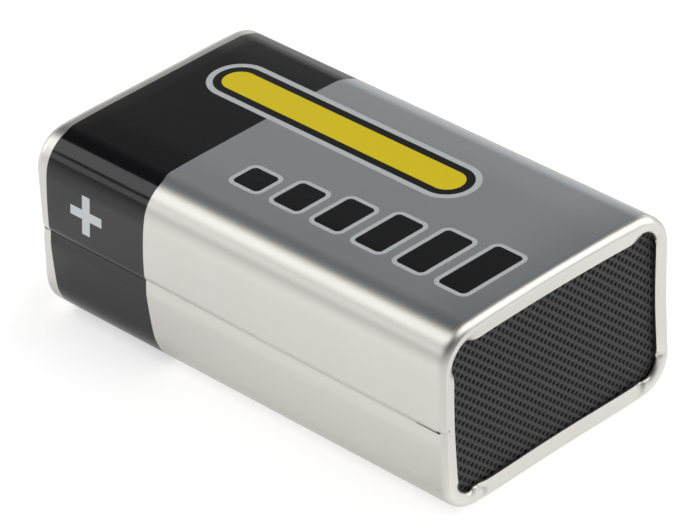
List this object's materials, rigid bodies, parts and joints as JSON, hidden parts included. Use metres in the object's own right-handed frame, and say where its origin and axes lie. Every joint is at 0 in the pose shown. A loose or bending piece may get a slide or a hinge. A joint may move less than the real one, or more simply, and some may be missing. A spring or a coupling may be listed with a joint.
{
  "type": "nine volt battery",
  "caption": "Rectangular nine volt dry battery in a wrapped steel jacket, with a snap stud and a snap socket at one end.",
  "frame": {"origin": "centre of the footprint of the battery lying on its broad back, terminals included in its length", "axes": "+Y towards the terminals, +Z out of the printed front face, the positive stud on the -X side"},
  "size_m": [0.0262, 0.0484, 0.017],
  "materials": {
    "printed_steel": "tin-plated steel sheet with lacquered print, satin to glossy",
    "base_plastic": "dark moulded plastic with a fine pitted texture",
    "board_plastic": "dark moulded board, plain",
    "liner_card": "stiff waxed card",
    "insulating_card": "thin insulating card",
    "nickel_plate": "nickel-plated drawn steel",
    "nickel_strip": "thin nickel strip",
    "nickel_plated_steel": "nickel-plated steel sheet",
    "cathode_mix": "pressed black powder",
    "separator_paper": "thin fibre paper",
    "zinc_gel": "grey gel",
    "brass": "bare brass pin",
    "nylon": "natural nylon"
  },
  "bodies": {
    "root": {"base_cover": "base_plastic", "bottom_insulator": "insulating_card", "bottom_strap_1": "nickel_strip", "bottom_strap_2": "nickel_strip", "bottom_strap_3": "nickel_strip", "cell_1_anode": "zinc_gel", "cell_1_can": "nickel_plated_steel", "cell_1_cap": "nickel_plated_steel", "cell_1_cathode": "cathode_mix", "cell_1_collector": "brass", "cell_1_seal": "nylon", "cell_1_separator": "separator_paper", "cell_2_anode": "zinc_gel", "cell_2_can": "nickel_plated_steel", "cell_2_cap": "nickel_plated_steel", "cell_2_cathode": "cathode_mix", "cell_2_collector": "brass", "cell_2_seal": "nylon", "cell_2_separator": "separator_paper", "cell_3_anode": "zinc_gel", "cell_3_can": "nickel_plated_steel", "cell_3_cap": "nickel_plated_steel", "cell_3_cathode": "cathode_mix", "cell_3_collector": "brass", "cell_3_seal": "nylon", "cell_3_separator": "separator_paper", "cell_4_anode": "zinc_gel", "cell_4_can": "nickel_plated_steel", "cell_4_cap": "nickel_plated_steel", "cell_4_cathode": "cathode_mix", "cell_4_collector": "brass", "cell_4_seal": "nylon", "cell_4_separator": "separator_paper", "cell_5_anode": "zinc_gel", "cell_5_can": "nickel_plated_steel", "cell_5_cap": "nickel_plated_steel", "cell_5_cathode": "cathode_mix", "cell_5_collector": "brass", "cell_5_seal": "nylon", "cell_5_separator": "separator_paper", "cell_6_anode": "zinc_gel", "cell_6_can": "nickel_plated_steel", "cell_6_cap": "nickel_plated_steel", "cell_6_cathode": "cathode_mix", "cell_6_collector": "brass", "cell_6_seal": "nylon", "cell_6_separator": "separator_paper", "cell_liner": "liner_card", "jacket": "printed_steel", "negative_lead": "nickel_strip", "negative_rivet": "nickel_plate", "negative_socket": "nickel_plate", "positive_lead": "nickel_strip", "positive_rivet": "nickel_plate", "positive_stud": "nickel_plate", "terminal_board": "board_plastic", "top_insulator": "insulating_card", "top_strap_1": "nickel_strip", "top_strap_2": "nickel_strip"}
  },
  "joints": []
}
